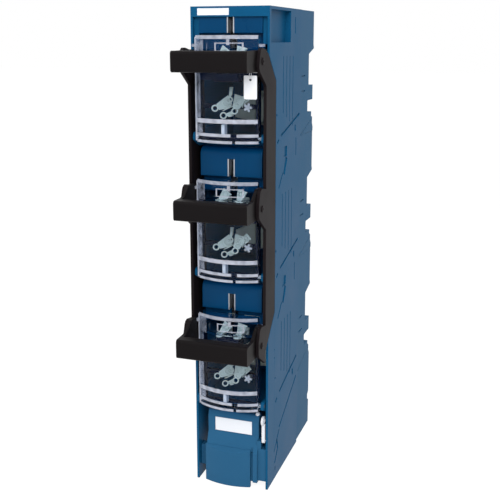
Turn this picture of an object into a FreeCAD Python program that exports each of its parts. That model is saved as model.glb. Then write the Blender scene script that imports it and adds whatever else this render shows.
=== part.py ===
import FreeCAD, Part
import math
import os

# Three-pole strip fuse switch disconnector for busbars at 185 mm centres.
# X runs to the right, the front faces -Y and Z is up. The origin is the centre of the
# middle busbar bolt hole, in the plane where the terminals rest on the busbars.
# All lengths are in millimetres. Heights called local count from a pole's own busbar hole.

# Overall size
pole_pitch = 185.0
pole_count = 3
width = 107.0
depth = 230.0
above_busbar = 86.0
below_busbar = 208.0
lug_reach = 28.0
wall = 3.0
gap = 0.3

# Housing
base_depth = 78.0
base_inset = 2.0
header_height = 13.0
header_thickness = 4.0
partition = 2.4
partition_setback = 31.0
groove_depth = 1.4
groove_width = 2.0
bracket_thickness = 4.0
pocket_depth = 8.0
pocket_height = 41.0
pocket_length = 89.0

# Busbar recess and contacts
recess_rise = 24.0
recess_drop = 22.0
bolt_hole_radius = 6.5
terminal_thickness = 6.0
terminal_width = 40.0
strap_width = 25.0
contact_thickness = 3.0
blade_gap = 6.6
contact_foot_width = 30.0
contact_foot_depth = 5.0
upper_jaw_height = 30.0
upper_jaw_reach = 42.0
upper_jaw_flare = 11.0
lower_foot_top = -28.0
lower_foot_bottom = -78.0
lower_jaw_middle = -52.0
lower_jaw_height = 42.0
lower_jaw_reach = 52.0
lower_jaw_flare = 25.0
stub_width = 20.0
stub_top = -44.0
stub_bottom = -62.0

# Arc chutes
chute_width = 86.0
chute_setback = 3.0
chute_bottom = 30.0
slot_width = 10.0
slot_top = 76.0
chute_edge_radius = 11.0
chute_wall = 4.0
plate_room_setback = 14.0
plate_room_depth = 78.0
contact_room_width = 34.0
seam_length = 90.0
plate_thickness = 1.5
plate_spacing = 14.0
plates_per_chute = 5
liner_thickness = 1.6

# Covers
cover_width = 86.0
cover_top = 50.0
cover_bottom = -86.0
cover_rib = -60.0
lip_ridge = -77.5
cover_side_reach = 11.0
cover_bulge = 12.0
cover_rear_reach = 2.0
cover_wall = 2.2
lip_setback = 3.0
carrier_cheek = 3.0
carrier_stud_height = -40.0

# Hinges, pins and the gang frame
hinge_reach = 2.0
hinge_height = -80.0
hinge_radius = 2.5
hinge_barrel_radius = 4.0
pin_reach = 28.0
pin_height = 18.5
pin_radius = 3.0
running_gap = 0.05
open_pivot_gap = 0.35
rail_thickness = 4.0
rail_front_reach = 12.5
rail_rear_setback = 29.0
rail_above = 35.0
rail_below = 5.0
rail_taper = 43.0
leaf_reach = 42.0
leaf_rise = 46.0
upper_leaf_rise = 36.0

# Handles
handle_reach = 76.5
bar_height = 26.0
bar_depth = 17.0
bar_wall = 3.2
arm_thickness = 4.3
arm_rise = 44.5

# Outgoing terminals and their cover
outgoing_pitch = 30.0
outgoing_width = 25.0
outgoing_drop = 150.0
outgoing_hole_radius = 5.5
stud_radius = 5.0
stud_free = 14.0
terminal_cover_top = 101.0
terminal_cover_half = 38.0
terminal_cover_wall = 3.0
terminal_cover_depth = 21.0
sill_drop = 133.0
window_top_drop = 111.0
window_half = 28.0
window_depth = 1.2
apron_drop = 155.0
apron_left = -40.0
apron_right = 28.0
apron_reach = 3.0
apron_bulge = 6.0
wing_top_drop = 136.0
wing_notch_drop = 148.0
label_thickness = 0.6

# Clip and tag
clip_x = 47.0
clip_drop = 133.0
peg_x = 35.0
peg_radius = 2.0
peg_head = 3.5
tag_width = 17.0
tag_height = 29.0
tag_setback = 8.0
tag_right = 48.5
tag_ring_radius = 4.0
tag_hole_radius = 1.6
tie_thickness = 0.8
tie_depth = 1.0
tie_rise = 6.0

# Places that follow from the sizes
flange_y = lug_reach - depth
crease_y = lug_reach - base_depth
side_x = width / 2
inner_x = side_x - wall
top_z = pole_pitch + above_busbar
last_pole_z = pole_pitch - (pole_count - 1) * pole_pitch
bottom_z = last_pole_z - below_busbar
header_z = top_z - header_height
chute_front_y = flange_y + chute_setback
partition_front_y = flange_y + partition_setback
hinge_y = flange_y - hinge_reach
pin_y = flange_y - pin_reach
rail_front_y = flange_y - rail_front_reach
rail_rear_y = flange_y + rail_rear_setback
rail_outer_x = side_x
rail_inner_x = side_x - rail_thickness
rail_top_z = pole_pitch + rail_above
rail_bottom_z = last_pole_z + rail_below
arm_outer_x = rail_inner_x - gap
arm_inner_x = arm_outer_x - arm_thickness
leaf_front_y = flange_y - leaf_reach
handle_front_y = flange_y - handle_reach
cover_rear_y = flange_y - cover_rear_reach
cover_side_y = flange_y - cover_side_reach
cover_front_y = cover_side_y - cover_bulge
cover_x = cover_width / 2
chute_x = chute_width / 2
cover_top_z = last_pole_z - terminal_cover_top
bar_front_y = crease_y + 19
bar_rear_y = bar_front_y + terminal_thickness
outgoing_end_z = last_pole_z - outgoing_drop - 14
outgoing_pad_y = crease_y - 24
clip_pivot_z = last_pole_z - clip_drop
tag_top = pole_pitch + pin_height - bar_height / 2 - tag_ring_radius
tag_middle_x = tag_right - tag_width / 2
tag_y = pin_y - tag_setback
stud_rear_y = cover_rear_y + 4


def pole_z(pole):
    """Height of a pole's busbar hole; pole 1 is the top one."""
    return pole_pitch - (pole - 1) * pole_pitch


def rounded_wire(corners, place):
    """A closed wire through corners (u, v) or (u, v, radius); place turns (u, v) into a point."""
    points = [FreeCAD.Vector(c[0], c[1], 0) for c in corners]
    radii = [c[2] if len(c) > 2 else 0 for c in corners]
    pieces = []
    for index, corner in enumerate(points):
        before = (points[index - 1] - corner).normalize()
        after = (points[(index + 1) % len(points)] - corner).normalize()
        radius = radii[index]
        if radius == 0:
            pieces.append((corner, None, corner))
            continue
        half = before.getAngle(after) / 2
        run = radius / math.tan(half)
        middle = (before + after).normalize()
        pieces.append((
            corner + before * run,
            corner + middle * (radius / math.sin(half) - radius),
            corner + after * run,
        ))
    edges = []
    last = pieces[-1][2]
    for start, middle, end in pieces:
        if last.distanceToPoint(start) > 1e-6:
            ends = [place(point.x, point.y) for point in (last, start)]
            edges.append(Part.LineSegment(*ends).toShape())
        if middle is not None:
            bend = [place(point.x, point.y) for point in (start, middle, end)]
            edges.append(Part.Arc(*bend).toShape())
        last = end
    return Part.Wire(edges)


def prism_x(corners, start, end):
    """A solid with its outline in Y and Z, from X = start to X = end."""
    wire = rounded_wire(corners, lambda y, z: FreeCAD.Vector(start, y, z))
    return Part.Face(wire).extrude(FreeCAD.Vector(end - start, 0, 0))


def prism_y(corners, start, end):
    """A solid with its outline in X and Z, from Y = start to Y = end."""
    wire = rounded_wire(corners, lambda x, z: FreeCAD.Vector(x, start, z))
    return Part.Face(wire).extrude(FreeCAD.Vector(0, end - start, 0))


def prism_z(corners, start, end):
    """A solid with its outline in X and Y, from Z = start to Z = end."""
    wire = rounded_wire(corners, lambda x, y: FreeCAD.Vector(x, y, start))
    return Part.Face(wire).extrude(FreeCAD.Vector(0, 0, end - start))


def block(x, y, z):
    """A box between pairs of limits."""
    return Part.makeBox(x[1] - x[0], y[1] - y[0], z[1] - z[0], FreeCAD.Vector(x[0], y[0], z[0]))


def rod(radius, start, end):
    """A round bar between two points."""
    start = FreeCAD.Vector(*start)
    axis = FreeCAD.Vector(*end) - start
    return Part.makeCylinder(radius, axis.Length, start, axis)


def hexagon(across_flats, start, length):
    """A hexagon bolt head or nut on a Y axis."""
    reach = across_flats / 2 / math.cos(math.pi / 6)
    corners = [
        (start[0] + reach * math.cos(n * math.pi / 3), start[2] + reach * math.sin(n * math.pi / 3))
        for n in range(6)
    ]
    return prism_y(corners, start[1], start[1] + length)


def join(shapes):
    """One solid from shapes that touch."""
    return shapes[0].multiFuse(shapes[1:]).removeSplitter() if len(shapes) > 1 else shapes[0]


def mirrored(shape):
    """The same shape on the other side of the middle plane."""
    return shape.mirror(FreeCAD.Vector(0, 0, 0), FreeCAD.Vector(1, 0, 0))


def both_sides(shapes):
    """Each shape and its mirror image."""
    return shapes + [mirrored(shape) for shape in shapes]


def raised(shape, height):
    """The same shape moved up."""
    return shape.translated(FreeCAD.Vector(0, 0, height))


def cut_all(shape, tools):
    """The shape with all the tools taken away."""
    return shape.cut(tools)


def save(name, shapes):
    """Write one named piece, or one group of like pieces, to its own file."""
    shape = shapes[0] if len(shapes) == 1 else Part.Compound(shapes)
    for solid in shape.Solids:
        if not solid.isValid():
            print("not valid:", name)
    print(name, len(shape.Solids), "solids", round(shape.Volume / 1000, 1), "cm3")
    shape.exportStep("parts/" + name + ".step")


def taper_height(y, edge_z, slope):
    """Height of a rail's tapered end at y; the taper starts at the rail's front edge."""
    return edge_z + slope * (y - rail_front_y)


rail_slope = rail_taper / (rail_rear_y - rail_front_y)


def side_plates():
    """The tray's right wall in three plates, which leave a notch where the gang frame's rail lies flush."""
    clear = 1.0
    seat_y = rail_rear_y + clear
    upper_front = taper_height(flange_y, rail_top_z, -rail_slope) + 2 * clear
    upper_rear = taper_height(seat_y, rail_top_z, -rail_slope) + 2 * clear
    lower_front = taper_height(flange_y, rail_bottom_z, rail_slope) - 2 * clear
    lower_rear = taper_height(seat_y, rail_bottom_z, rail_slope) - 2 * clear
    rear = block((inner_x, side_x), (seat_y, crease_y), (bottom_z, top_z))
    upper = prism_x([(flange_y, upper_front), (seat_y, upper_rear), (seat_y, top_z), (flange_y, top_z)],
                    inner_x, side_x)
    lower = prism_x([(flange_y, bottom_z), (seat_y, bottom_z), (seat_y, lower_rear), (flange_y, lower_front)],
                    inner_x, side_x)
    return [rear, upper, lower]


def groove(start, end, breadth):
    """A cutter for a straight groove in the right wall between two points (setback, height)."""
    start_y, end_y = flange_y + start[0], flange_y + end[0]
    run = FreeCAD.Vector(0, end_y - start_y, end[1] - start[1])
    across = FreeCAD.Vector(0, -run.z, run.y).normalize() * (breadth / 2)
    corners = [(start_y + across.y, start[1] + across.z), (end_y + across.y, end[1] + across.z),
               (end_y - across.y, end[1] - across.z), (start_y - across.y, start[1] - across.z)]
    return prism_x(corners, side_x - groove_depth, side_x + 1)


def pole_marks(z):
    """The grooves, joint line, keyhole and peg holes of one pole in the right wall."""
    tools = []
    for n in range(4):
        setback = 62 + 15.5 * n
        tools.append(groove((setback, z + 23), (setback, z - 52 - 7 * n), groove_width))
    tools.append(groove((54, z - 81), (144, z - 59), 3.5))
    tools.append(groove((36, z - 90), (43, z - 86), 3.5))
    tools.append(groove((123, z - 82), (123, z - 73), 5))
    tools.append(groove((128, z - 118), (128, z - 92), 2.5))
    tools.append(groove((74, z - 112), (74, z - 98), 16))
    tools.append(groove((68, z - 136), (80, z - 114), 9))
    tools.append(groove((44, z - 152), (62, z - 134), 3))
    for setback, height, radius in ((33, -52, 1.9), (29, -8, 1.2), (29, -20, 1.2)):
        spot = (flange_y + setback, z + height)
        tools.append(rod(radius, (side_x - groove_depth, *spot), (side_x + 1, *spot)))
    return tools


def wall_marks():
    """All the shallow marks moulded into the right wall."""
    tools = []
    for pole in range(1, pole_count):
        tools += pole_marks(pole_z(pole))
    tools += [tool for tool in pole_marks(last_pole_z) if tool.BoundBox.ZMin > last_pole_z - 100]
    z = last_pole_z
    tools.append(groove((55, z - 137), (144, z - 92), 3))
    tools.append(groove((30, z - 165), (55, z - 141), 3))
    tools.append(groove((44, z - 150), (48, z - 168), 4))
    tools.append(groove((48, z - 166), (34, z - 184), 4))
    tools.append(groove((36, z - 196), (36, z - 190), 3))
    tools.append(groove((118.5, top_z - 33), (118.5, top_z - 11), 3))
    return tools


def side():
    """The right side: the wall's plates with their shallow marks, and the spring pocket at the top."""
    pocket_low = top_z - wall - 1 - pocket_height
    pocket_y = (flange_y + 7, flange_y + 7 + pocket_length)
    casing = block((chute_x + gap, inner_x), (pocket_y[0] - 2, pocket_y[1] + 2),
                   (pocket_low - 2, top_z - wall))
    pocket = block((side_x - pocket_depth, side_x + 1), pocket_y, (pocket_low, top_z - wall - 1))
    return [cut_all(plate, wall_marks() + [pocket]) for plate in side_plates()] + [casing.cut(pocket)]


def hinge_bracket(z):
    """A lug inside the right wall that carries one end of a cover's hinge pin."""
    outer = arm_outer_x
    inner = outer - bracket_thickness
    y = hinge_y
    h = z + hinge_height
    floor = z - pole_pitch / 2 + partition / 2
    lug = prism_x([
        (y - 6, h - 4, 3), (y - 6, h + 6, 5), (y + 8, h + 6, 4), (rail_rear_y + 10, h + 10, 4),
        (rail_rear_y + 22, h + 10), (rail_rear_y + 22, floor - partition), (y + 14, floor - partition),
    ], inner, outer)
    plate = block((inner - 1, outer + 1), (partition_front_y, crease_y), (floor - partition - 1, floor))
    web = block((inner, inner_x), (rail_rear_y + 3, rail_rear_y + 20), (floor, h + 8))
    hole = rod(hinge_radius, (inner - 1, y, h), (outer + 1, y, h))
    return cut_all(join([lug, web]), [plate, hole])


def hinge_brackets():
    """The six lugs of the three covers' hinge pins."""
    return both_sides([hinge_bracket(pole_z(pole)) for pole in range(1, pole_count + 1)])


def front_housing():
    """The tray's cross plates: header with top plate, partitions and floor plate."""
    label_recess = block((-44, -1), (flange_y - 1, flange_y + label_thickness),
                         (top_z - 11, top_z - 2.5))
    top_slots = [block((x - 6, x + 6), (flange_y + 30, flange_y + 33), (top_z - 1.2, top_z + 1))
                 for x in (-30, 0, 30)]
    header = join([
        block((-inner_x, inner_x), (flange_y, crease_y), (top_z - wall, top_z)),
        block((-inner_x, inner_x), (flange_y, flange_y + header_thickness), (header_z, top_z - wall)),
    ])
    plates = [
        cut_all(header, [label_recess] + top_slots),
        block((-inner_x, inner_x), (crease_y - 10, crease_y), (bottom_z, bottom_z + wall)),
    ]
    for pole in range(1, pole_count + 1):
        middle = pole_z(pole) - pole_pitch / 2
        plates.append(block((-inner_x, inner_x), (partition_front_y, crease_y),
                            (middle - partition / 2, middle + partition / 2)))
    return plates


def header_label():
    """The bare rating strip in the header."""
    return block((-44, -1), (flange_y, flange_y + label_thickness), (top_z - 11, top_z - 2.5))


def base_limits(pole):
    """Bottom and top of a rear module."""
    z = pole_z(pole)
    high = top_z if pole == 1 else z + pole_pitch / 2
    low = bottom_z if pole == pole_count else z - pole_pitch / 2
    return low, high


def terminal_strap(z):
    """Outline of a busbar terminal from the recess through the base to the chamber."""
    t = terminal_thickness
    turn = z + recess_rise + 9
    return [
        (0, z - recess_drop + gap), (0, turn, 4), (crease_y - t, turn), (crease_y - t, turn - t),
        (-t, turn - t, 1), (-t, z - recess_drop + gap),
    ]


def pole_base(pole):
    """A rear module with the recess that takes the busbar, its lugs and its channels."""
    z = pole_z(pole)
    low, high = base_limits(pole)
    low += gap / 2 if pole < pole_count else 0
    high -= gap / 2 if pole > 1 else 0
    rear = lug_reach
    outline = [
        (crease_y, low), (crease_y, high), (rear - 2, high), (rear - 2, z + recess_rise + 14),
        (rear, z + recess_rise + 10, 2), (rear, z + recess_rise + 8), (0, z + recess_rise),
        (0, z - recess_drop), (rear - 4, z - recess_drop), (rear - 4, z - 44),
        (-5, z - 44, 2), (-5, z - 62), (rear - 10, z - 62), (rear - 10, z - 70),
        (rear - 4, z - 70, 2), (rear - 4, z - 80), (rear, z - 86, 2),
    ]
    if pole == pole_count:
        outline += [(rear, z - 154), (rear - 6, z - 158), (rear - 6, z - 169), (rear, z - 169), (rear, low)]
    else:
        outline += [(rear, low)]
    x = side_x - base_inset
    solid = prism_x(outline, -x, x)
    half = strap_width / 2 + gap
    pad = terminal_width / 2 + gap
    t = terminal_thickness + gap
    turn = z + recess_rise + 9 + gap
    tools = [
        block((-pad, pad), (-t, 1), (z - recess_drop - 1, z + recess_rise)),
        block((-half, half), (-t, 0), (z, turn)),
        block((-half, half), (crease_y - 1, 0), (turn - t - gap, turn)),
        rod(11, (0, crease_y - 1, z), (0, -terminal_thickness, z)),
    ]
    chamber_z = last_pole_z - pole_pitch / 2 - partition / 2
    for other in range(1, pole + 1):
        x0 = outgoing_x(other)
        channel = outgoing_width / 2 + gap
        channel_low = low - 1 if pole < pole_count else chamber_z - 1
        top = z - 60 if other == pole else high + 1
        tools.append(block((x0 - channel, x0 + channel), (bar_front_y - gap, bar_rear_y + gap),
                           (channel_low, top)))
    head_low, head_high = shoulder_limits(pole)
    tools.append(block((head_low - gap, head_high + gap), (bar_front_y - gap, bar_rear_y + gap),
                       (z - 64 - gap, z - 42 + gap)))
    stub = stub_width / 2 + gap
    tools.append(block((-stub, stub), (crease_y - 1, bar_front_y), (z + stub_bottom - gap, z + stub_top + gap)))
    if pole == pole_count:
        tools.append(block((-x + wall, x - wall), (crease_y - 1, bar_rear_y), (bottom_z - 1, chamber_z)))
    solid = cut_all(solid, tools)
    side_marks = []
    for y, height in ((-38, -8), (-38, -30)):
        side_marks.append(block((x - 1.2, x + 1), (y, y + 18), (z + height, z + height + 2)))
    side_marks.append(prism_x([(crease_y + 4, z - 92), (crease_y + 7, z - 92), (rear - 6, z - 74),
                               (rear - 9, z - 74)], x - 1.2, x + 1))
    return cut_all(solid, both_sides(side_marks))


def busbar_terminal(pole):
    """The copper pad that bolts to the busbar, with its strap to the upper contact."""
    z = pole_z(pole)
    pad = block((-terminal_width / 2, terminal_width / 2), (-terminal_thickness, 0),
                (z - recess_drop + gap, z + recess_rise - gap))
    strap = prism_x(terminal_strap(z), -strap_width / 2, strap_width / 2)
    hole = rod(bolt_hole_radius, (0, -terminal_thickness - 1, z), (0, 1, z))
    return join([pad, strap]).cut(hole)


def arc_chute(pole):
    """The block in front of the upper contact, with its slot for the fuse blade."""
    z = pole_z(pole)
    top = header_z if pole == 1 else z + pole_pitch / 2 - partition / 2
    low = z + chute_bottom
    ledge = z + cover_top + 2.5
    back = crease_y
    front_corner = (chute_front_y, top) if pole == 1 else (chute_front_y, top, chute_edge_radius)
    outline = [front_corner, (back, top), (back, low), (chute_front_y + 12, low, 3),
               (chute_front_y + 12, ledge), (chute_front_y, ledge, 1)]
    solid = prism_x(outline, -chute_x, chute_x)
    slot_end = min(z + slot_top, top + 1)
    roof = min(z + slot_top, top - 2)
    half = slot_width / 2
    room_y = (chute_front_y + plate_room_setback, chute_front_y + plate_room_setback + plate_room_depth)
    room_x = chute_x - chute_wall
    slot = block((-half, half), (chute_front_y - 1, back - 12), (low - 1, slot_end))
    chamber = block((-room_x, room_x), room_y, (low + chute_wall, roof))
    contact_room = block((-contact_room_width / 2, contact_room_width / 2), (room_y[1] - 1, back + 1),
                         (low - 1, roof))
    solid = cut_all(solid, [slot, chamber, contact_room])
    seam = block((-0.4, 0.4), (chute_front_y - 1, chute_front_y + seam_length), (top - 1.2, top + 1))
    return solid.cut(seam) if pole > 1 else solid


def arc_plates(pole):
    """Splitter plates across the blade's way, and the pale liners of the slot."""
    z = pole_z(pole)
    top = header_z if pole == 1 else z + pole_pitch / 2 - partition / 2
    low = z + chute_bottom
    roof = min(z + slot_top, top - 2)
    half_slot = slot_width / 2
    pieces = []
    for n in range(plates_per_chute):
        y = chute_front_y + plate_room_setback + 10 + plate_spacing * n
        x = chute_x - chute_wall
        floor = low + chute_wall
        outline = [(-x, floor), (-x, roof), (x, roof), (x, floor), (8, floor), (8, roof - 14, 3),
                   (-8, roof - 14, 3), (-8, floor)]
        pieces.append(prism_y(outline, y, y + plate_thickness))
    front_y = chute_front_y + 0.2
    rim_low = z + cover_top + 3
    for side in (-1, 1):
        inner = side * (half_slot - liner_thickness)
        outer = side * half_slot
        pieces.append(block((min(inner, outer), max(inner, outer)), (front_y, front_y + plate_room_setback - 0.2),
                            (rim_low, min(z + slot_top, top))))
    return pieces


def jaw(z, height, reach, flare, tip_drop):
    """The right-hand plate of a contact: it grips the blade and flares open at the front."""
    t = contact_thickness
    grip = blade_gap / 2 - 0.3
    foot_y = crease_y - contact_foot_depth
    bend_y = foot_y - reach * 0.6
    plan = [
        (grip + 3, foot_y), (grip + 3, foot_y - 7, 2), (grip, foot_y - 15, 2),
        (grip, bend_y, 3), (flare, foot_y - reach), (flare + t * 0.7, foot_y - reach + t * 0.7),
        (grip + t, bend_y + 1, 3), (grip + t, foot_y - 15, 2),
        (grip + 3 + t, foot_y - 7, 2), (grip + 3 + t, foot_y),
    ]
    plate = prism_z(plan, z - height / 2, z + height / 2)
    side = [
        (foot_y + 1, z - height / 2), (foot_y + 1, z + height / 2), (foot_y - reach * 0.55, z + height / 2),
        (foot_y - reach - 1, z + height / 2 - tip_drop), (foot_y - reach - 1, z - height / 2 + tip_drop),
        (foot_y - reach * 0.55, z - height / 2),
    ]
    return plate.common(prism_x(side, 0, 60))


def jaw_spring(z, height, foot_y):
    """A steel clip bent round the back of a contact's two plates."""
    t = 1.5
    inner = blade_gap / 2 - 0.3 + contact_thickness
    near = foot_y - 22
    bow = inner + 4
    plan = [
        (inner, near), (inner, foot_y - 16, 1), (bow, foot_y - 9, 1), (bow, foot_y - 2),
        (bow + t, foot_y - 2), (bow + t, foot_y - 9.5, 1), (inner + t, foot_y - 16.5, 1), (inner + t, near),
    ]
    return prism_z(plan, z - height / 2, z + height / 2)


def upper_contact(pole):
    """Foot and two plates that take the fuse-link's upper blade."""
    z = pole_z(pole)
    top = header_z if pole == 1 else z + pole_pitch / 2 - partition / 2
    low = z + recess_rise + 9
    high = min(z + slot_top, top - 2) - gap
    half = contact_foot_width / 2
    foot = block((-half, half), (crease_y - contact_foot_depth, crease_y), (low, high))
    middle = (low + high) / 2 + 2
    plates = both_sides([jaw(middle, upper_jaw_height, upper_jaw_reach, upper_jaw_flare, 6)])
    return join([foot] + plates)


def lower_contact(pole):
    """Foot and two winged plates that take the fuse-link's lower blade."""
    z = pole_z(pole)
    half = contact_foot_width / 2
    foot = block((-half, half), (crease_y - contact_foot_depth, crease_y), (z + lower_foot_bottom, z + lower_foot_top))
    stub = block((-stub_width / 2, stub_width / 2), (crease_y - 1, bar_front_y), (z + stub_bottom, z + stub_top))
    plates = both_sides([jaw(z + lower_jaw_middle, lower_jaw_height, lower_jaw_reach, lower_jaw_flare, 12)])
    return join([foot, stub] + plates)


def jaw_springs():
    """The steel clips of all six contacts, two to each."""
    pieces = []
    for pole in range(1, pole_count + 1):
        z = pole_z(pole)
        pieces += both_sides([jaw_spring(z + lower_jaw_middle, 16, crease_y - contact_foot_depth)])
        pieces += both_sides([jaw_spring(z + 56, 12, crease_y - contact_foot_depth)])
    return pieces


def outgoing_x(pole):
    """Sideways place of a pole's outgoing bar: left, right, and the last pole's in the middle."""
    if pole == pole_count:
        return 0.0
    return outgoing_pitch * (-1) ** pole


def shoulder_limits(pole):
    """Sideways limits of a load bar's head, from its own line to the contact above it."""
    x0 = outgoing_x(pole)
    return min(x0 - outgoing_width / 2, -12), max(x0 + outgoing_width / 2, 12)


def load_bar(pole):
    """The copper bar from a lower contact down through the bases to its outgoing terminal."""
    z = pole_z(pole)
    x0 = outgoing_x(pole)
    half = outgoing_width / 2
    bar = block((x0 - half, x0 + half), (bar_front_y, bar_rear_y), (outgoing_end_z, z - 60))
    head = block(shoulder_limits(pole), (bar_front_y, bar_rear_y), (z - 64, z - 42))
    riser = block((x0 - half, x0 + half), (outgoing_pad_y, bar_front_y + 1),
                  (outgoing_end_z + 28, outgoing_end_z + 34))
    pad = block((x0 - half, x0 + half), (outgoing_pad_y, outgoing_pad_y + terminal_thickness),
                (outgoing_end_z, outgoing_end_z + 34))
    bolt_z = outgoing_end_z + 14
    hole = rod(outgoing_hole_radius, (x0, outgoing_pad_y - 1, bolt_z), (x0, outgoing_pad_y + 8, bolt_z))
    return join([bar, head, pad, riser]).cut(hole)


def terminal_studs():
    """Captive studs of the outgoing terminals, each with its washer and nut."""
    pieces = []
    z = outgoing_end_z + 14
    y = outgoing_pad_y
    for pole in range(1, pole_count + 1):
        x0 = outgoing_x(pole)
        back = y + terminal_thickness
        head = hexagon(16, (x0, back, z), 6.4)
        shank = rod(stud_radius, (x0, y - 10 - stud_free, z), (x0, back, z))
        washer = rod(10, (x0, y - 1.6, z), (x0, y, z))
        nut = hexagon(16, (x0, y - 10, z), 8.4)
        pieces.append(join([head, shank, washer, nut]))
    return pieces


def phase_barriers():
    """Insulating plates between the outgoing terminals."""
    low = outgoing_end_z - 38
    high = last_pole_z - pole_pitch / 2 - partition / 2
    pieces = []
    for n in range(1, pole_count):
        x0 = outgoing_pitch * (n - pole_count / 2)
        pieces.append(prism_x([(bar_rear_y, low), (bar_rear_y, high), (partition_front_y + 40, high),
                               (partition_front_y + 40, low + 30, 6), (partition_front_y + 60, low)],
                              x0 - 1.2, x0 + 1.2))
    return pieces


def cover_plan(setback, inset):
    """Plan outline of a cover: flat sides and a front that bulges to the middle."""
    x = cover_x - inset
    side_y = cover_side_y + setback + inset
    front_y = cover_front_y + setback + inset
    rear_y = cover_rear_y + (1 if inset else 0)
    edges = [
        Part.Arc(FreeCAD.Vector(-x, side_y, 0), FreeCAD.Vector(0, front_y, 0),
                 FreeCAD.Vector(x, side_y, 0)).toShape(),
        Part.LineSegment(FreeCAD.Vector(x, side_y, 0), FreeCAD.Vector(x, rear_y, 0)).toShape(),
        Part.LineSegment(FreeCAD.Vector(x, rear_y, 0), FreeCAD.Vector(-x, rear_y, 0)).toShape(),
        Part.LineSegment(FreeCAD.Vector(-x, rear_y, 0), FreeCAD.Vector(-x, side_y, 0)).toShape(),
    ]
    return Part.Face(Part.Wire(edges))


def cover_slice(low, high, setback, inset):
    """A stretch of a cover's outer or inner form."""
    face = cover_plan(setback, inset)
    return raised(face.extrude(FreeCAD.Vector(0, 0, high - low)), low)


def cover(pole):
    """The clear shell over a fuse compartment: bulged front, thick rib, stepped lip and ears."""
    z = pole_z(pole)
    low, rib, top = z + cover_bottom, z + cover_rib, z + cover_top
    outer = join([
        cover_slice(rib, top, 0, 0),
        cover_slice(low, rib, lip_setback, 0),
        cover_slice(rib, rib + 5.5, -1.2, 0),
        cover_slice(z + lip_ridge, z + lip_ridge + 4, lip_setback - 1.2, 0),
        cover_slice(low, low + 3.5, lip_setback - 0.8, 0),
    ])
    inner = join([
        cover_slice(rib + cover_wall, top - cover_wall, 0, cover_wall),
        cover_slice(low + cover_wall, rib + cover_wall + 1, lip_setback, cover_wall),
    ])
    shell = outer.cut(inner)
    inner_rib = cover_slice(z + 23, z + 25, 1, 1).cut(cover_slice(z + 22, z + 26, 3, cover_wall + 1))
    rib_x = cover_x - cover_wall - 2 * gap - carrier_cheek
    inner_rib = inner_rib.common(block((-rib_x, rib_x), (cover_front_y, cover_rear_y), (z + 22, z + 26)))
    ear = prism_z([(cover_x - 1, cover_side_y + 1), (arm_outer_x - 1, cover_side_y + 2, 1),
                   (arm_outer_x - 1, cover_side_y + 7, 1), (cover_x - 1, cover_side_y + 8)],
                  z + 36, z + 39)
    frame = window_frame(z)
    height = z + hinge_height
    barrel_x = cover_x - cover_wall
    hinge_room = rod(hinge_barrel_radius + 1, (-barrel_x, hinge_y, height), (barrel_x, hinge_y, height))
    pin_hole = rod(hinge_radius + gap, (-cover_x - 1, hinge_y, height), (cover_x + 1, hinge_y, height))
    return cut_all(join([shell, inner_rib, frame] + both_sides([ear])), [hinge_room, pin_hole])


def window_frame(z):
    """The raised rim of the small viewing window on a cover's front."""
    rim = prism_y([(-25, z + 29), (-25, z + 41), (20, z + 41), (20, z + 29)],
                  cover_front_y - 2, cover_side_y)
    hole = prism_y([(-23.6, z + 30.4), (-23.6, z + 39.6), (18.6, z + 39.6), (18.6, z + 30.4)],
                   cover_front_y - 3, cover_side_y + 1)
    skin = cover_slice(z + 28, z + 42, -0.8, 0).cut(cover_slice(z + 27, z + 43, 0.5, 0))
    return rim.cut(hole).common(skin)


def fuse_carrier(pole):
    """The black frame behind a cover: cheeks, centre block and hinge barrel."""
    z = pole_z(pole)
    cheek_outer = cover_x - cover_wall - gap
    cheek_inner = cheek_outer - carrier_cheek
    foot = z + hinge_height - 3
    y0, y1 = cover_side_y + lip_setback + cover_wall + gap, cover_rear_y
    cheek = prism_x([(y0, z + 20, 2), (y1, z + 30, 3), (y1 + 8, z + 30, 2),
                     (y1 + 8, foot, 3), (y0, foot, 2)],
                    cheek_inner, cheek_outer)
    barrel = rod(hinge_barrel_radius, (-cheek_inner, hinge_y, z + hinge_height),
                 (cheek_inner, hinge_y, z + hinge_height))
    front = cover_front_y + cover_wall + 1.5
    block_outline = [(front + 3, z - 8, 3), (front + 3, z + 19, 3), (y1, z + 19), (y1 + 8, z + 10, 4),
                     (y1 + 8, z - 8, 4)]
    centre = prism_x(block_outline, -16, 16)
    beam = block((-cheek_outer + 1, cheek_outer - 1), (y1 - 6, y1 + 4), (z - 6, z + 4))
    stud_beam = block((-cheek_outer + 1, cheek_outer - 1), (stud_rear_y, stud_rear_y + 6),
                      (z + carrier_stud_height - 3, z + carrier_stud_height + 3))
    body = join(both_sides([cheek]) + [barrel, centre, beam, stud_beam])
    bore = rod(hinge_radius + running_gap, (-50, hinge_y, z + hinge_height), (50, hinge_y, z + hinge_height))
    slot = block((-12, 12), (front, y1 + 2), (z + 2, z + 13))
    return body.cut(bore).cut(slot)


def claws(pole):
    """Two flat hooks that grip the fuse-link's lugs, each ending in a ring eye."""
    z = pole_z(pole) + 19
    pieces = []
    for side in (-1, 1):
        x = 12.5 * side
        y_front, y_back = cover_side_y - 1.5, cover_rear_y + 28
        ring_outer = rod(4.6, (x, y_front, z), (x, y_front, z + 3))
        ring_hole = rod(2.4, (x, y_front, z - 1), (x, y_front, z + 4))
        strip = prism_z([(x - 3.5, y_front), (x + 3.5, y_front), (x + 6, y_back - 14, 6),
                         (x + 6, y_back, 3), (x - 2, y_back, 3), (x - 5, y_back - 14, 6)], z, z + 3)
        hook = prism_z([(x + 2, y_back - 6), (x + 6, y_back - 6), (x + 6, y_back, 2), (x + 2, y_back, 1)],
                       z - 7, z + 3)
        pieces.append(join([ring_outer, strip, hook]).cut(ring_hole))
    return pieces


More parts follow.
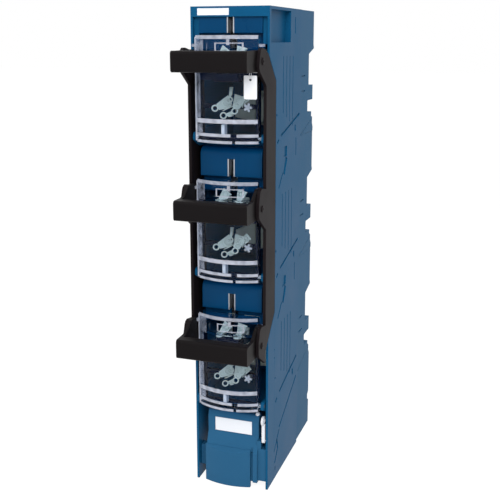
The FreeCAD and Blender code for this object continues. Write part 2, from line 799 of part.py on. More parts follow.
def handle(pole):
    """The U-shaped pull: a channelled bar and two arms that run back beside the cover."""
    z = pole_z(pole)
    low, high = z + pin_height - bar_height / 2, z + pin_height + bar_height / 2
    front, back = handle_front_y, handle_front_y + bar_depth
    bar = prism_x([(front, low, 4), (front, high, 4), (back, high, 2), (back, low, 2)],
                  -arm_outer_x, arm_outer_x)
    channel = prism_x([(front + bar_wall, low + bar_wall, 2), (front + bar_wall, high - bar_wall, 2),
                       (back + 1, high - bar_wall), (back + 1, low + bar_wall)],
                      -arm_inner_x, arm_inner_x)
    tail = cover_side_y + 8
    peak = z + arm_rise
    crest = []
    if pole > 1:
        crest = [(back + 8, high, 12), (pin_y - 5, peak, 5), (cover_side_y - 5, peak, 3)]
    arm = prism_x([(front + 2, low + 2, 3), (front + 2, high - 2, 3), (back, high, 4)] + crest
                  + [(cover_side_y - 2, high + 1, 4), (tail, high - 5, 4), (tail, low + 6, 4),
                     (pin_y - 4, low, 8), (back, low, 4)], arm_inner_x, arm_outer_x)
    pin_gap = running_gap if pole == 2 else open_pivot_gap
    hole = rod(pin_radius + pin_gap, (arm_inner_x - 1, pin_y, z + pin_height),
               (arm_outer_x + 1, pin_y, z + pin_height))
    arms = both_sides([arm.cut(hole)])
    ribs = [block((x - 1, x + 1), (front + bar_wall - 0.5, back - 3), (low + 2, high - 2))
            for x in (-24, 0, 24)]
    seats = both_sides([block((cover_x, arm_inner_x + 1), (cover_side_y + 2, tail),
                              (z + pin_height - 6, z + pin_height + 4))])
    grip = join([bar.cut(channel)] + arms + ribs + seats)
    if pole > 1:
        return grip
    eyelet = block((arm_inner_x - 1, arm_outer_x + 1), (tag_y - 1, tag_y + 1),
                   (low + tie_rise - 1, low + tie_rise + 1))
    tie_seat = block((arm_outer_x - tie_depth, arm_outer_x + 1), (tag_y - 1, tag_y + 1),
                     (low - 1, low + tie_rise))
    return cut_all(grip, [eyelet, tie_seat])


def rail():
    """The right rail of the gang frame: its web, and a leaf round each handle pin."""
    web = prism_x([(rail_front_y, rail_bottom_z), (rail_rear_y, rail_bottom_z + rail_taper, 4),
                   (rail_rear_y, rail_top_z - rail_taper, 4), (rail_front_y, rail_top_z, 4)],
                  rail_inner_x, rail_outer_x)
    pieces = [web]
    for pole in range(1, pole_count + 1):
        z = pole_z(pole)
        rise = upper_leaf_rise if pole == 1 else leaf_rise
        leaf = prism_x([
            (rail_front_y, z + rise - 4), (leaf_front_y + 7, z + rise, 9),
            (leaf_front_y, z + rise - 20, 12), (leaf_front_y, z + 8, 9), (rail_front_y, z - 12),
        ], rail_inner_x, rail_outer_x)
        pieces.append(leaf.cut(rod(pin_radius, (rail_inner_x - 1, pin_y, z + pin_height),
                                   (rail_outer_x + 1, pin_y, z + pin_height))))
    return pieces


def rail_pins():
    """The pins pressed into the rails, on which the handle arms turn."""
    pieces = []
    for pole in range(1, pole_count + 1):
        z = pole_z(pole) + pin_height
        pieces += both_sides([rod(pin_radius, (arm_inner_x, pin_y, z), (rail_outer_x, pin_y, z))])
    return pieces


def hinge_pins():
    """One steel pin for each cover, held by the housing's brackets."""
    pieces = []
    for pole in range(1, pole_count + 1):
        z = pole_z(pole) + hinge_height
        pieces.append(rod(hinge_radius, (-arm_outer_x, hinge_y, z), (arm_outer_x, hinge_y, z)))
    return pieces


def terminal_cover():
    """The moulded cover over the outgoing terminals, with a label seat and a bulged apron."""
    top = cover_top_z
    front = flange_y + 2
    rear = front + terminal_cover_depth
    edge = inner_x - gap
    half = terminal_cover_half
    thick = terminal_cover_wall
    apron_top = last_pole_z - apron_drop
    sill = last_pole_z - sill_drop
    face = front + 5
    low = bottom_z + 8
    outline = [
        (rear, top - 1, 2), (front + 8, top, 4), (face, top - 9, 3), (face, sill, 2),
        (front - apron_reach, apron_top, 6), (front - apron_reach, low), (rear, low),
    ]
    hollow = [
        (rear + 1, top - thick), (front + 8 + thick, top - thick, 2), (face + thick, top - 9, 2),
        (face + thick, sill - 1, 2), (front - apron_reach + thick, apron_top, 4),
        (front - apron_reach + thick, low - 1), (rear + 1, low - 1),
    ]
    body = prism_x(outline, -half, half)
    shell = prism_x(hollow, thick - half, half - thick)
    skirt = apron_plan(front).extrude(FreeCAD.Vector(0, 0, apron_top + 4 - bottom_z - gap))
    slope = prism_x([(front - 20, apron_top + 8), (front - 20, apron_top - 12), (front + 2, apron_top + 8)],
                    -side_x, side_x)
    wing = block((half - 1, edge), (front, rear - 1), (low + 3, last_pole_z - wing_top_drop))
    notch = block((half + 5, side_x), (front - 1, rear), (last_pole_z - wing_notch_drop, apron_top + 20))
    left = block((-edge, 1 - half), (front + 8, rear - 1), (low + 10, apron_top - 4))
    channel = block((apron_right, apron_right + 3.5), (front - 12, front), (bottom_z, apron_top + 12))
    window = block((-window_half, window_half), (front - 1, face + window_depth),
                   (sill + 1, last_pole_z - window_top_drop))
    peg_hole = rod(peg_radius, (peg_x, front + 10, top - 20), (peg_x, front + 10, top + 1))
    return cut_all(join([body.cut(shell), skirt.cut(slope), wing.cut(notch), left]), [channel, window, peg_hole])


def apron_plan(front):
    """Plan outline of the cable cover's bulged apron, at the housing's lower end."""
    low = bottom_z + gap
    middle = (apron_left + apron_right) / 2
    ends = [FreeCAD.Vector(apron_left, front - apron_reach + 1, low), FreeCAD.Vector(apron_right, front - apron_reach - 1, low)]
    bulge = Part.Arc(ends[0], FreeCAD.Vector(middle, front - apron_reach - apron_bulge, low), ends[1])
    corners = [ends[1], FreeCAD.Vector(apron_right, front, low), FreeCAD.Vector(apron_left, front, low), ends[0]]
    sides = [Part.LineSegment(a, b).toShape() for a, b in zip(corners, corners[1:])]
    return Part.Face(Part.Wire([bulge.toShape()] + sides))


def terminal_label():
    """The blank white card in the terminal cover's window."""
    sill = last_pole_z - sill_drop
    y = flange_y + 2 + 5 + window_depth
    edge = window_half - 0.5
    return block((-edge, edge), (y - label_thickness, y), (sill + 1.5, last_pole_z - window_top_drop - 0.5))


def nylon_clip():
    """The white snap clip at the terminal cover's upper right, with a sealing loop."""
    x0, x1 = clip_x - 2.2, clip_x + 2.2
    z0 = clip_pivot_z
    y = flange_y - 1
    stem = prism_x([(y, z0 - 4, 2), (y, z0 + 24, 1), (y + 5, z0 + 24, 1), (y + 5, z0 - 4, 2)], x0, x1)
    loop = rod(6.5, (x0, y + 2.5, z0 + 29), (x1 - 1.4, y + 2.5, z0 + 29))
    loop = loop.cut(rod(3.6, (x0 - 1, y + 2.5, z0 + 29), (x1, y + 2.5, z0 + 29)))
    pivot_hole = rod(1.5 + running_gap, (x0 - 1, y + 2.5, z0), (x1 + 1, y + 2.5, z0))
    return join([stem, loop]).cut(pivot_hole)


def clip_pivot():
    """The pin that the clip turns on, standing from a lug inside the right wall."""
    y = flange_y + 1.5
    pin = rod(1.5, (clip_x - 2.6, y, clip_pivot_z), (inner_x, y, clip_pivot_z))
    return pin


def seal_peg():
    """The small white peg in the terminal cover's top edge."""
    y = flange_y + 12
    stem = rod(peg_radius, (peg_x, y, cover_top_z - 8), (peg_x, y, cover_top_z + 1))
    head = Part.makeCone(peg_radius * 1.7, peg_radius * 1.1, peg_head, FreeCAD.Vector(peg_x, y, cover_top_z))
    return join([stem, head])


def cover_latch(pole):
    """The catch post behind the lip of a cover."""
    z = pole_z(pole)
    front = cover_front_y + lip_setback
    post = prism_x([(front, z + cover_rib - 2), (front, z + cover_rib - 14), (front + 12, z + cover_rib - 17, 1.5),
                    (front + 12, z + cover_rib - 2)], -5.5, -1.0)
    return post.common(cover_slice(z + cover_bottom + cover_wall, z + cover_rib, lip_setback, cover_wall))


def carrier_stud(pole):
    """The lobed stud on a fuse carrier's cross beam, seen through the cover's right side."""
    z = pole_z(pole) + carrier_stud_height
    x, y = 27.0, stud_rear_y - 10
    hub = rod(3.2, (x, y, z), (x, stud_rear_y, z))
    lobes = [hub]
    for n in range(5):
        angle = 2 * math.pi * n / 5
        dx, dz = 4.2 * math.cos(angle), 4.2 * math.sin(angle)
        lobes.append(rod(1.7, (x + dx, y, z + dz), (x + dx, y + 2.5, z + dz)))
    return join(lobes)


def tag_tie():
    """The white tie through the upper handle's right arm, ending in the ring that holds the tag."""
    low = pole_z(1) + pin_height - bar_height / 2
    t = tie_thickness
    high = low + tie_rise
    seat_x = arm_outer_x - tie_depth
    y = (tag_y - t / 2, tag_y + t / 2)
    strands = [
        block((tag_middle_x, seat_x + t), y, (low - t, low)),
        block((seat_x, seat_x + t), y, (low - t, high)),
        block((arm_inner_x - t, seat_x + t), y, (high - t, high)),
        block((arm_inner_x - t, arm_inner_x), y, (low - t, high)),
    ]
    ring = Part.makeTorus(tag_ring_radius, t / 2, FreeCAD.Vector(tag_middle_x, tag_y, tag_top),
                          FreeCAD.Vector(1, 0, 0))
    return join(strands + [ring])


def info_tag():
    """The blank card that hangs from the tie's ring."""
    left, right = tag_right - tag_width, tag_right
    card = prism_y([(left, tag_top - tag_height, 1.5), (left, tag_top, 1.5), (right, tag_top, 1.5),
                    (right, tag_top - tag_height, 1.5)], tag_y - 0.3, tag_y + 0.3)
    hole_z = tag_top - tag_ring_radius + tie_thickness / 2 + running_gap - tag_hole_radius
    return card.cut(rod(tag_hole_radius, (tag_middle_x, tag_y - 1, hole_z), (tag_middle_x, tag_y + 1, hole_z)))


def build():
    """Write every piece."""
    os.makedirs("parts", exist_ok=True)
    save("front_housing", front_housing())
    save("side_wall_right", side())
    save("side_wall_left", [mirrored(piece) for piece in side()])
    save("hinge_brackets", hinge_brackets())
    save("header_label", [header_label()])
    for pole in range(1, pole_count + 1):
        tag = "_" + str(pole)
        save("pole_base" + tag, [pole_base(pole)])
        save("busbar_terminal" + tag, [busbar_terminal(pole)])
        save("arc_chute" + tag, [arc_chute(pole)])
        save("arc_plates" + tag, arc_plates(pole))
        save("upper_contact" + tag, [upper_contact(pole)])
        save("lower_contact" + tag, [lower_contact(pole)])
        save("load_bar" + tag, [load_bar(pole)])
        save("cover" + tag, [cover(pole)])
        save("fuse_carrier" + tag, [fuse_carrier(pole)])
        save("claws" + tag, claws(pole))
        save("handle" + tag, [handle(pole)])
        save("cover_latch" + tag, [cover_latch(pole)])
        save("carrier_stud" + tag, [carrier_stud(pole)])
    save("jaw_springs", jaw_springs())
    save("terminal_studs", terminal_studs())
    save("phase_barriers", phase_barriers())
    save("hinge_pins", hinge_pins())
    save("rail_right", rail())
    save("rail_left", [mirrored(piece) for piece in rail()])
    save("rail_pins", rail_pins())
    save("terminal_cover", [terminal_cover()])
    save("terminal_label", [terminal_label()])
    save("nylon_clip", [nylon_clip()])
    save("clip_pivot", [clip_pivot()])
    save("seal_peg", [seal_peg()])
    save("tag_tie", [tag_tie()])
    save("info_tag", [info_tag()])


build()
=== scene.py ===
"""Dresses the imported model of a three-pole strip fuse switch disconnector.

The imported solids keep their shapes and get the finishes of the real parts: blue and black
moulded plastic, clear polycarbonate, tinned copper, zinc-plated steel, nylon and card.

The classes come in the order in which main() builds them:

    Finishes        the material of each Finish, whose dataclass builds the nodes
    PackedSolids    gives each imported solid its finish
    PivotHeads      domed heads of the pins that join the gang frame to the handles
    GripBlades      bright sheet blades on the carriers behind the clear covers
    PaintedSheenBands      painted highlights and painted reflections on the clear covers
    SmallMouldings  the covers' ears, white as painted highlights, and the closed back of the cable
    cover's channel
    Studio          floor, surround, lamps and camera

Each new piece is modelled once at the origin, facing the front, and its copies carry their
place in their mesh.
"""

from __future__ import annotations

import logging
import math
from collections.abc import Callable, Iterable
from dataclasses import dataclass, field
from enum import Enum

import bpy
from mathutils import Matrix, Vector


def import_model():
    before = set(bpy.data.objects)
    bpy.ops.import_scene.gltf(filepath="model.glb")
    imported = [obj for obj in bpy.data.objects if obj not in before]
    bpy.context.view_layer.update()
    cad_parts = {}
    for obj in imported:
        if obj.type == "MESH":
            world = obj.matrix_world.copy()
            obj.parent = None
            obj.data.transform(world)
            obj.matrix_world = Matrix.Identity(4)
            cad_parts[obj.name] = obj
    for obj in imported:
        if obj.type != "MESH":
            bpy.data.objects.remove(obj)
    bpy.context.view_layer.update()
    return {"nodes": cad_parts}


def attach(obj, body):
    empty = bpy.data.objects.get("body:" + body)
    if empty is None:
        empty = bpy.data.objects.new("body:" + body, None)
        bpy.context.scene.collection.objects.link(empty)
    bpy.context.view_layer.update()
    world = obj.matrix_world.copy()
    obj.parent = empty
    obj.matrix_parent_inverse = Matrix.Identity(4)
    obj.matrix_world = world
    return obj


LOG = logging.getLogger("strip_disconnector")

MM = 0.001
POLES = (1, 2, 3)
MIDDLE_POLE = 2
COVER_BODIES = {1: "upper_fuse_cover", 2: "middle_fuse_cover", 3: "lower_fuse_cover"}
POLE_PITCH = 185 * MM

# A face is turned to an axis's low side, which is a piece's front or its foot, where its normal's
# share along that axis is below the first of these, and squarely where it is below the second.
LOW_SIDE = -0.9
SQUARE_LOW_SIDE = -0.99

EDGE_SAMPLES = 4
SMOOTH_ANGLE = 35.0
SOFT_SEGMENTS = 2

# A Mix node has one set of sockets for each kind of value. These are its share and its colours.
MIX_SHARE, MIX_A, MIX_B = "0", "6", "7"
MIXED_COLOUR = 2
FULL_ALPHA = 1.0


class Facing(Enum):
    """The way the outer face of a small fitting looks."""

    FRONT = (0.0, -1.0, 0.0)
    RIGHT = (1.0, 0.0, 0.0)
    LEFT = (-1.0, 0.0, 0.0)


def pole_height(pole: int) -> float:
    """Return the height of a pole's busbar hole in metres."""
    return (MIDDLE_POLE - pole) * POLE_PITCH


def at_pole(pole: int, place_mm: tuple[float, float, float]) -> Vector:
    """Return a place in metres from one in millimetres from a pole's busbar hole.

    Args:
        pole: the pole's number, from the top.
        place_mm: the place across, in depth and above the hole, in millimetres.

    Returns:
        The place in the object's frame.
    """
    across, depth, above = place_mm
    return Vector((across * MM, depth * MM, pole_height(pole) + above * MM))


def linear(colour: str) -> tuple[float, float, float, float]:
    """Turn an sRGB hex value into linear red, green, blue and a full alpha.

    The numbers in it are the sRGB standard's own.

    Args:
        colour: six hex digits after a hash.

    Returns:
        The four numbers that a shader's colour socket takes.
    """
    shares = [int(colour[start : start + 2], 16) / 255 for start in (1, 3, 5)]
    red, green, blue = (
        share / 12.92 if share <= 0.04045 else ((share + 0.055) / 1.055) ** 2.4 for share in shares
    )
    return red, green, blue, FULL_ALPHA


def add_node(
    tree: bpy.types.NodeTree,
    kind: str,
    settings: dict[str, object] | None = None,
    links: dict[str, bpy.types.NodeSocket] | None = None,
) -> bpy.types.Node:
    """Add one node with its settings and links.

    An input goes by its name, or by its number, written in digits, where several share a name.

    Args:
        tree: the node tree that gets the node.
        kind: Blender's name for the node type.
        settings: values by input socket, or by property where no input has the name.
        links: output sockets by the input that each goes to.

    Returns:
        The new node.
    """
    node = tree.nodes.new(kind)
    for name, value in (settings or {}).items():
        if name.isdigit() or name in node.inputs:
            node.inputs[int(name) if name.isdigit() else name].default_value = value
        else:
            setattr(node, name, value)
    for name, socket in (links or {}).items():
        tree.links.new(socket, node.inputs[int(name) if name.isdigit() else name])
    return node


def new_material(name: str) -> bpy.types.Material:
    """Return an empty node material.

    Args:
        name: the material's name.

    Returns:
        The material, with no nodes in its tree.
    """
    material = bpy.data.materials.new(name)
    material.use_nodes = True
    material.node_tree.nodes.clear()
    return material


@dataclass(frozen=True)
class MouldedPlastic:
    """Glass-filled polyamide from a spark-eroded mould: an even, slightly cloudy satin surface."""

    name: str
    colour: str
    flow_colour: str
    roughness: float = 0.42
    roughness_spread: float = 0.08
    ior: float = 1.53
    specular: float = 0.5
    grain_mm: float = 0.7
    grain_detail: float = 2.0
    grain_height_mm: float = 0.012
    grain_strength: float = 0.6
    flow_mm: float = 60.0
    flow_detail: float = 4.0
    edge_mm: float = 0.6

    def build(self) -> bpy.types.Material:
        """Build the material, with flow clouds in the colour and a fine moulded grain.

        Returns:
            The material.
        """
        material = new_material(self.name)
        tree = material.node_tree
        place = add_node(tree, "ShaderNodeTexCoord").outputs["Object"]
        flow = add_node(
            tree,
            "ShaderNodeTexNoise",
            {"Scale": 1 / (self.flow_mm * MM), "Detail": self.flow_detail},
            {"Vector": place},
        )
        grain = add_node(
            tree,
            "ShaderNodeTexNoise",
            {"Scale": 1 / (self.grain_mm * MM), "Detail": self.grain_detail},
            {"Vector": place},
        )
        colour = add_node(
            tree,
            "ShaderNodeMix",
            {"data_type": "RGBA", MIX_A: linear(self.colour), MIX_B: linear(self.flow_colour)},
            {MIX_SHARE: flow.outputs[0]},
        )
        rough = add_node(
            tree,
            "ShaderNodeMapRange",
            {
                "To Min": self.roughness - self.roughness_spread,
                "To Max": self.roughness + self.roughness_spread,
            },
            {"Value": flow.outputs[0]},
        )
        edge = add_node(
            tree, "ShaderNodeBevel", {"samples": EDGE_SAMPLES, "Radius": self.edge_mm * MM}
        )
        bump = add_node(
            tree,
            "ShaderNodeBump",
            {"Strength": self.grain_strength, "Distance": self.grain_height_mm * MM},
            {"Height": grain.outputs[0], "Normal": edge.outputs[0]},
        )
        shader = add_node(
            tree,
            "ShaderNodeBsdfPrincipled",
            {"IOR": self.ior, "Specular IOR Level": self.specular},
            {
                "Base Color": colour.outputs[MIXED_COLOUR],
                "Roughness": rough.outputs[0],
                "Normal": bump.outputs[0],
            },
        )
        add_node(tree, "ShaderNodeOutputMaterial", links={"Surface": shader.outputs[0]})
        return material


@dataclass(frozen=True)
class PlatedMetal:
    """Rolled strip with a thin plating: a grey sheen drawn out along the rolling direction.

    The roughness goes from its value less polish to its value plus wear.
    """

    name: str
    colour: str
    tarnish: str
    roughness: float = 0.3
    polish: float = 0.08
    wear: float = 0.14
    metallic: float = 0.85
    rolled_mm: tuple[float, float, float] = (0.4, 0.4, 8.0)
    rolled_detail: float = 3.0
    rolled_height_mm: float = 0.01
    rolled_strength: float = 0.4
    tarnish_mm: float = 14.0
    tarnish_detail: float = 5.0
    edge_mm: float = 0.3

    def build(self) -> bpy.types.Material:
        """Build the material, with rolling streaks in the roughness and tarnish in the colour.

        Returns:
            The material.
        """
        material = new_material(self.name)
        tree = material.node_tree
        place = add_node(tree, "ShaderNodeTexCoord").outputs["Object"]
        stretched = add_node(
            tree,
            "ShaderNodeMapping",
            {"Scale": tuple(1 / (length * MM) for length in self.rolled_mm)},
            {"Vector": place},
        )
        streaks = add_node(
            tree,
            "ShaderNodeTexNoise",
            {"Scale": 1.0, "Detail": self.rolled_detail},
            {"Vector": stretched.outputs[0]},
        )
        clouds = add_node(
            tree,
            "ShaderNodeTexNoise",
            {"Scale": 1 / (self.tarnish_mm * MM), "Detail": self.tarnish_detail},
            {"Vector": place},
        )
        colour = add_node(
            tree,
            "ShaderNodeMix",
            {"data_type": "RGBA", MIX_A: linear(self.colour), MIX_B: linear(self.tarnish)},
            {MIX_SHARE: clouds.outputs[0]},
        )
        rough = add_node(
            tree,
            "ShaderNodeMapRange",
            {"To Min": self.roughness - self.polish, "To Max": self.roughness + self.wear},
            {"Value": streaks.outputs[0]},
        )
        edge = add_node(
            tree, "ShaderNodeBevel", {"samples": EDGE_SAMPLES, "Radius": self.edge_mm * MM}
        )
        bump = add_node(
            tree,
            "ShaderNodeBump",
            {"Strength": self.rolled_strength, "Distance": self.rolled_height_mm * MM},
            {"Height": streaks.outputs[0], "Normal": edge.outputs[0]},
        )
        shader = add_node(
            tree,
            "ShaderNodeBsdfPrincipled",
            {"Metallic": self.metallic},
            {
                "Base Color": colour.outputs[MIXED_COLOUR],
                "Roughness": rough.outputs[0],
                "Normal": bump.outputs[0],
            },
        )
        add_node(tree, "ShaderNodeOutputMaterial", links={"Surface": shader.outputs[0]})
        return material


@dataclass(frozen=True)
class ClearPolycarbonate:
    """Clear injection-moulded polycarbonate: glossy, faintly blue, and see-through to lamps.

    The cover is a thin shell with four faces in the line of sight, which all mirror the pale
    surround. At the plastic's own 1.58 that adds up to a grey veil that the real cover doesn't
    have, so the IOR is matched to what is seen.
    """

    name: str
    colour: str
    shadow: str
    roughness: float = 0.04
    ior: float = 1.17
    wave_mm: float = 22.0
    wave_detail: float = 1.0
    wave_height_mm: float = 0.05
    wave_strength: float = 0.5

    def build(self) -> bpy.types.Material:
        """Build the material; rays from lamps pass it as they pass the real cover.

        Returns:
            The material.
        """
        material = new_material(self.name)
        tree = material.node_tree
        place = add_node(tree, "ShaderNodeTexCoord").outputs["Object"]
        wave = add_node(
            tree,
            "ShaderNodeTexNoise",
            {"Scale": 1 / (self.wave_mm * MM), "Detail": self.wave_detail},
            {"Vector": place},
        )
        bump = add_node(
            tree,
            "ShaderNodeBump",
            {"Strength": self.wave_strength, "Distance": self.wave_height_mm * MM},
            {"Height": wave.outputs[0]},
        )
        shader = add_node(
            tree,
            "ShaderNodeBsdfPrincipled",
            {
                "Base Color": linear(self.colour),
                "Roughness": self.roughness,
                "IOR": self.ior,
                "Transmission Weight": 1.0,
            },
            {"Normal": bump.outputs[0]},
        )
        lamp_way = add_node(tree, "ShaderNodeBsdfTransparent", {"Color": linear(self.shadow)})
        path = add_node(tree, "ShaderNodeLightPath")
        either = add_node(
            tree,
            "ShaderNodeMath",
            {"operation": "MAXIMUM"},
            {"0": path.outputs["Is Shadow Ray"], "1": path.outputs["Is Diffuse Ray"]},
        )
        mix = add_node(
            tree,
            "ShaderNodeMixShader",
            links={"0": either.outputs[0], "1": shader.outputs[0], "2": lamp_way.outputs[0]},
        )
        add_node(tree, "ShaderNodeOutputMaterial", links={"Surface": mix.outputs[0]})
        return material


@dataclass(frozen=True)
class PaintedSheenPolycarbonate:
    """Painted highlights and reflections on the clear moulding: white bands over its ribs and thick
    corners, standing in for the light that they catch.
    """

    name: str
    colour: str
    cloud: str
    cover: float = 0.55
    cover_spread: float = 0.2
    roughness: float = 0.35
    cloud_mm: float = 9.0
    cloud_detail: float = 2.0
    cloud_low: float = 0.3
    cloud_high: float = 0.7

    def build(self) -> bpy.types.Material:
        """Build the material: painted white sheen over clear plastic, thicker in places.

        Returns:
            The material.
        """
        material = new_material(self.name)
        tree = material.node_tree
        place = add_node(tree, "ShaderNodeTexCoord").outputs["Object"]
        clouds = add_node(
            tree,
            "ShaderNodeTexNoise",
            {"Scale": 1 / (self.cloud_mm * MM), "Detail": self.cloud_detail},
            {"Vector": place},
        )
        colour = add_node(
            tree,
            "ShaderNodeMix",
            {"data_type": "RGBA", MIX_A: linear(self.colour), MIX_B: linear(self.cloud)},
            {MIX_SHARE: clouds.outputs[0]},
        )
        amount = add_node(
            tree,
            "ShaderNodeMapRange",
            {
                "From Min": self.cloud_low,
                "From Max": self.cloud_high,
                "To Min": self.cover - self.cover_spread,
                "To Max": self.cover + self.cover_spread,
            },
            {"Value": clouds.outputs[0]},
        )
        painted_sheen_shader = add_node(
            tree,
            "ShaderNodeBsdfPrincipled",
            {"Roughness": self.roughness},
            {"Base Color": colour.outputs[MIXED_COLOUR]},
        )
        clear = add_node(tree, "ShaderNodeBsdfTransparent")
        mix = add_node(
            tree,
            "ShaderNodeMixShader",
            links={"0": amount.outputs[0], "1": clear.outputs[0], "2": painted_sheen_shader.outputs[0]},
        )
        add_node(tree, "ShaderNodeOutputMaterial", links={"Surface": mix.outputs[0]})
        return material


@dataclass(frozen=True)
class Card:
    """Uncoated white card with a faint fibre mottle."""

    name: str
    colour: str
    fibre: str
    roughness: float = 0.75
    fibre_mm: float = 1.2
    fibre_detail: float = 6.0
    fibre_height_mm: float = 0.02
    fibre_strength: float = 0.3

    def build(self) -> bpy.types.Material:
        """Build the material with its fibre mottle.

        Returns:
            The material.
        """
        material = new_material(self.name)
        tree = material.node_tree
        place = add_node(tree, "ShaderNodeTexCoord").outputs["Object"]
        fibres = add_node(
            tree,
            "ShaderNodeTexNoise",
            {"Scale": 1 / (self.fibre_mm * MM), "Detail": self.fibre_detail},
            {"Vector": place},
        )
        colour = add_node(
            tree,
            "ShaderNodeMix",
            {"data_type": "RGBA", MIX_A: linear(self.colour), MIX_B: linear(self.fibre)},
            {MIX_SHARE: fibres.outputs[0]},
        )
        bump = add_node(
            tree,
            "ShaderNodeBump",
            {"Strength": self.fibre_strength, "Distance": self.fibre_height_mm * MM},
            {"Height": fibres.outputs[0]},
        )
        shader = add_node(
            tree,
            "ShaderNodeBsdfPrincipled",
            {"Roughness": self.roughness},
            {"Base Color": colour.outputs[MIXED_COLOUR], "Normal": bump.outputs[0]},
        )
        add_node(tree, "ShaderNodeOutputMaterial", links={"Surface": shader.outputs[0]})
        return material


class Finish(Enum):
    """The finishes that the product's pieces take."""

    # Deep blue side walls and header, with a dull moulded face that mirrors next to nothing.
    HOUSING = MouldedPlastic("blue_polyamide", "#0A4C74", "#12547A", specular=0.05)
    # The rear modules: a greyer, paler copy of the wall blue, painted lighter for the light on
    # their sides.
    MODULE = MouldedPlastic(
        "blue_polyamide_module_painted_lighter", "#2A587A", "#305E80", roughness=0.46, specular=0.03
    )
    # The cable cover: a lighter copy of the wall blue, painted lighter for the light on its bulged
    # front.
    APRON = MouldedPlastic("blue_polyamide_apron_painted_lighter", "#22567A", "#2A5E82", specular=0.08)
    # The fuse carriers, almost black behind the clear covers.
    CARRIER = MouldedPlastic("navy_polyamide", "#0B1428", "#101A30", roughness=0.5, specular=0.05)
    # The arc chutes, the most strongly coloured blue, smoother than the walls.
    CHUTE = MouldedPlastic(
        "blue_polyester_chute", "#003A62", "#024068", roughness=0.3, specular=0.08
    )
    # The three handles, black with a faint warm tone.
    HANDLE = MouldedPlastic("black_polyamide", "#110F10", "#171415", roughness=0.4, specular=0.05)
    # The rails of the gang frame, brownish black and duller than the handles.
    RAIL = MouldedPlastic(
        "brown_black_polyamide", "#161214", "#1E191B", roughness=0.42, specular=0.03
    )
    # The sheet that lines each arc chute's slot: bright and slightly streaked.
    LINER = PlatedMetal("zinc_plated_sheet", "#C8CCD2", "#A4A9AE", roughness=0.34)
    # Tin oxidises to a matt, pale green-grey skin, so it reads as a coating and not as a mirror.
    COPPER = PlatedMetal("tinned_copper", "#F0F2E4", "#CCD2C0", roughness=0.42, metallic=0.0)
    # Springs, studs and pins, with a cool grey sheen.
    STEEL = PlatedMetal("zinc_plated_steel", "#C4C7CC", "#989CA2", roughness=0.28)
    # The three covers, clear enough for the carriers behind to keep their colour.
    CLEAR = ClearPolycarbonate("clear_polycarbonate", "#EEF4FB", "#DCE6F2")
    # Painted reflection: a thin bluish strip along the covers' left side, where their wall turns
    # away.
    HAZE = PaintedSheenPolycarbonate("painted_reflection_polycarbonate", "#C6CEE0", "#98A4BC", cover=0.24)
    # Painted highlight: white lines on the covers' ribs, lips, window rims and ears, standing in
    # for light glinting off the clear plastic.
    SATIN = PaintedSheenPolycarbonate("painted_highlight_polycarbonate", "#D6D9E4", "#B6BCCC")
    # Clip, peg, latches and tie: uncoloured nylon, off-white and slightly waxy.
    NYLON = MouldedPlastic("natural_nylon", "#E6E7EA", "#DADCE2", roughness=0.45)
    # The labels and the hanging tag, matt and a touch cool.
    CARD = Card("white_card", "#F2F4F8", "#E4E7EE")


@dataclass
class Finishes:
    """The material of each finish, built once."""

    built: dict[Finish, bpy.types.Material] = field(default_factory=dict)

    def get(self, finish: Finish) -> bpy.types.Material:
        """Return the material of a finish, made the first time it is asked for.

        Args:
            finish: the finish.

        Returns:
            Its material.
        """
        if finish not in self.built:
            self.built[finish] = finish.value.build()
        return self.built[finish]


def dress(node: bpy.types.Object, material: bpy.types.Material) -> None:
    """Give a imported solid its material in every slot.

    Args:
        node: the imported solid.
        material: its finish.
    """
    if not node.material_slots:
        node.data.materials.append(material)
    for slot in node.material_slots:
        slot.material = material


def deselect() -> None:
    """Leave edit mode and select nothing."""
    if bpy.context.mode != "OBJECT":
        bpy.ops.object.mode_set(mode="OBJECT")
    bpy.ops.object.select_all(action="DESELECT")


def pick_faces(piece: bpy.types.Object, wanted: Callable[[bpy.types.MeshPolygon], bool]) -> None:
    """Enter edit mode on a piece with just the wanted faces selected.

    Args:
        piece: the active object.
        wanted: says of each face whether it is selected.
    """
    bpy.ops.object.mode_set(mode="EDIT")
    bpy.ops.mesh.select_mode(type="FACE")
    bpy.ops.mesh.select_all(action="DESELECT")
    bpy.ops.object.mode_set(mode="OBJECT")
    for polygon in piece.data.polygons:
        polygon.select = wanted(polygon)
    bpy.ops.object.mode_set(mode="EDIT")


def soften(piece: bpy.types.Object, width: float) -> None:
    """Round all edges of a piece a little.

    Args:
        piece: the active and only selected object.
        width: how far the rounding reaches on each side of an edge, in metres.
    """
    bevel = piece.modifiers.new("soften", "BEVEL")
    bevel.width = width
    bevel.segments = SOFT_SEGMENTS
    bpy.ops.object.modifier_apply(modifier=bevel.name)


def settle(piece: bpy.types.Object, name: str, material: bpy.types.Material) -> None:
    """Finish a piece: place in the mesh, smooth curves, name and material.

    Args:
        piece: the active and only selected object.
        name: the piece's name.
        material: its finish.
    """
    if bpy.context.mode != "OBJECT":
        bpy.ops.object.mode_set(mode="OBJECT")
    bpy.ops.object.transform_apply(location=True, rotation=True, scale=True)
    bpy.ops.object.shade_smooth_by_angle(angle=math.radians(SMOOTH_ANGLE))
    piece.name = name
    piece.data.materials.clear()
    piece.data.materials.append(material)


def place_copy(
    source: bpy.types.Object, name: str, move: Vector, turn: Matrix | None = None
) -> bpy.types.Object:
    """Copy a finished piece, with its own mesh, to another place.

    Args:
        source: the piece modelled at the origin, facing the front.
        name: the copy's name.
        move: where its origin goes, in metres.
        turn: a turn about the origin before the move.

    Returns:
        The copy.
    """
    copy = source.copy()
    copy.data = source.data.copy()
    copy.name = name
    bpy.context.collection.objects.link(copy)
    copy.data.transform(Matrix.Translation(move) @ (turn or Matrix.Identity(4)))
    return copy


